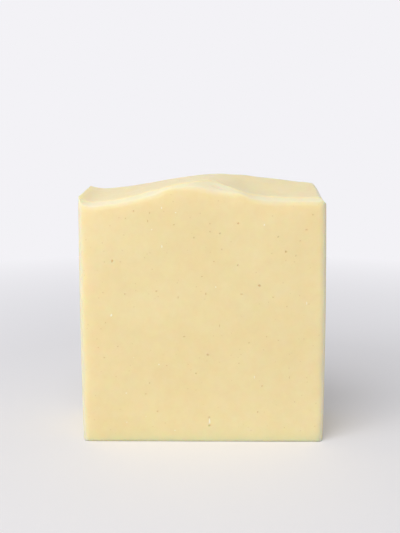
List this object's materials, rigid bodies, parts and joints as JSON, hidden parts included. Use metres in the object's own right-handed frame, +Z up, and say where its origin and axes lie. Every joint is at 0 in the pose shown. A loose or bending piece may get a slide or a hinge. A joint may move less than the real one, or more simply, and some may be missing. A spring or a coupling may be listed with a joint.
{
  "type": "bar of soap",
  "caption": "Hand-cut bar of soap that stands on its narrow base, with a spooned wave along the top, a thin raised lip at one wall and planed edges.",
  "frame": {"origin": "centre of the footprint, on the surface that the bar stands on", "axes": "+Z up to the waved top; X across the broad cut faces, with the raised lip on the -X wall; -Y is the front cut face and +Y the back one"},
  "size_m": [0.0732, 0.029, 0.079],
  "materials": {
    "soap": "cream to pale yellow cured soap, satin and slightly translucent, with fine air pits on the cut faces and smoother, paler planed edges"
  },
  "bodies": {
    "root": {"soap_bar": "soap"}
  },
  "joints": []
}
